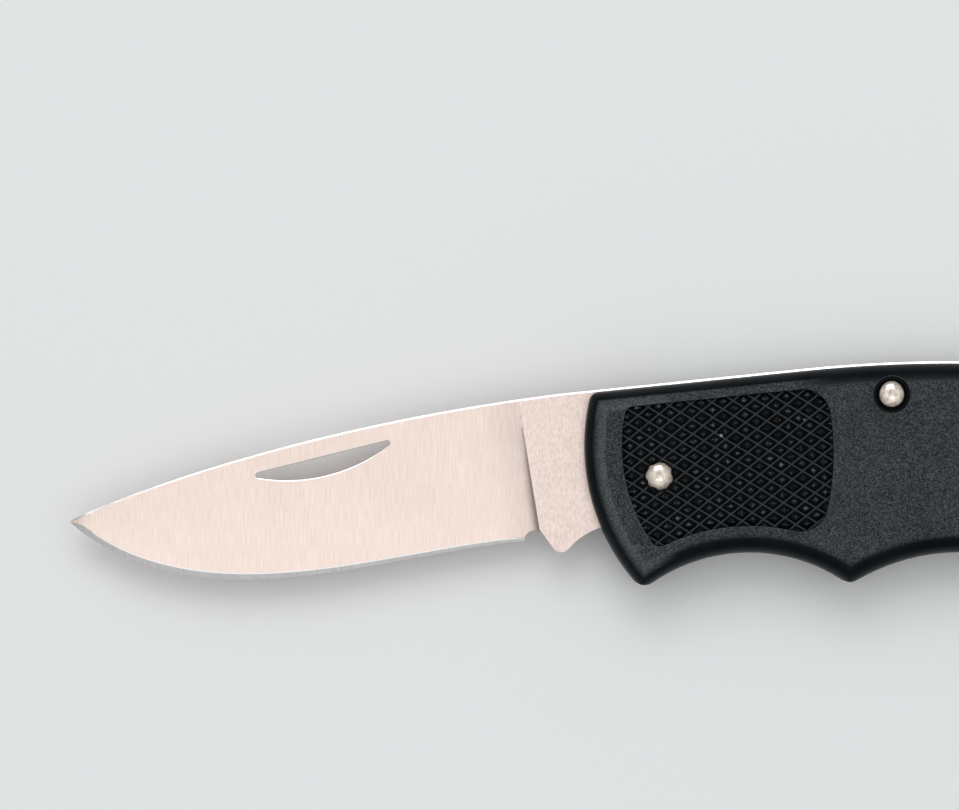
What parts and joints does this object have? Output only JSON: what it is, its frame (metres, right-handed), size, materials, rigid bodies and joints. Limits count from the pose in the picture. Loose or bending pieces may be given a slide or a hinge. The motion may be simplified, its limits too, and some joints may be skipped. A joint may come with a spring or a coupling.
{
  "type": "folding pocket knife",
  "caption": "Folding lockback pocket knife, stored open: satin drop-point blade with a crescent thumb slot, black moulded handle with finger grooves, checkered grip panels, domed rivets.",
  "frame": {"origin": "middle of the open knife's outline, on the outer face of the back side, z = 0", "axes": "+X from the blade's tip to the handle's tail, +Y to the spine, +Z out of the front side"},
  "size_m": [0.1792, 0.0354, 0.0126],
  "materials": {
    "scale": "fine-grained matte",
    "grip_panel": "smooth, moulded checkering",
    "blade_steel": "satin, brushed across the blade",
    "bar_steel": "satin",
    "liner_steel": "plain rolled",
    "spring_steel": "blued-grey",
    "rivet": "domed, lightly polished",
    "washer_bronze": "plain"
  },
  "bodies": {
    "handle": {"front_scale": "scale", "back_scale": "scale", "front_grip_panel": "grip_panel", "back_grip_panel": "grip_panel", "front_liner": "liner_steel", "back_liner": "liner_steel", "pivot_rivet": "rivet", "pivot_rivet_cap": "rivet", "lock_bar_rivet": "rivet", "lock_bar_rivet_cap": "rivet", "tail_rivet": "rivet", "tail_rivet_cap": "rivet", "pivot_bushing": "liner_steel", "lock_bar_bushing": "liner_steel", "front_pivot_washer": "washer_bronze", "back_pivot_washer": "washer_bronze", "tail_spacer": "liner_steel", "lock_spring": "spring_steel"},
    "blade": {"blade": "blade_steel"},
    "lock_bar": {"lock_bar": "bar_steel"}
  },
  "joints": [
    {"name": "blade_fold", "type": "hinge", "parent": "handle", "child": "blade", "pos_m": [-0.00419, 0.0011, 0.00628], "axis": [0, 0, 1], "range_deg": [0, 167.5]},
    {"name": "lock_bar_press", "type": "hinge", "parent": "handle", "child": "lock_bar", "pos_m": [0.02945, 0.01292, 0.00628], "axis": [0, 0, -1], "range_deg": [-2.2, 2], "stiffness_Nm_per_rad": 1, "springref_deg": -22.92, "deforming": ["lock_spring"]}
  ]
}
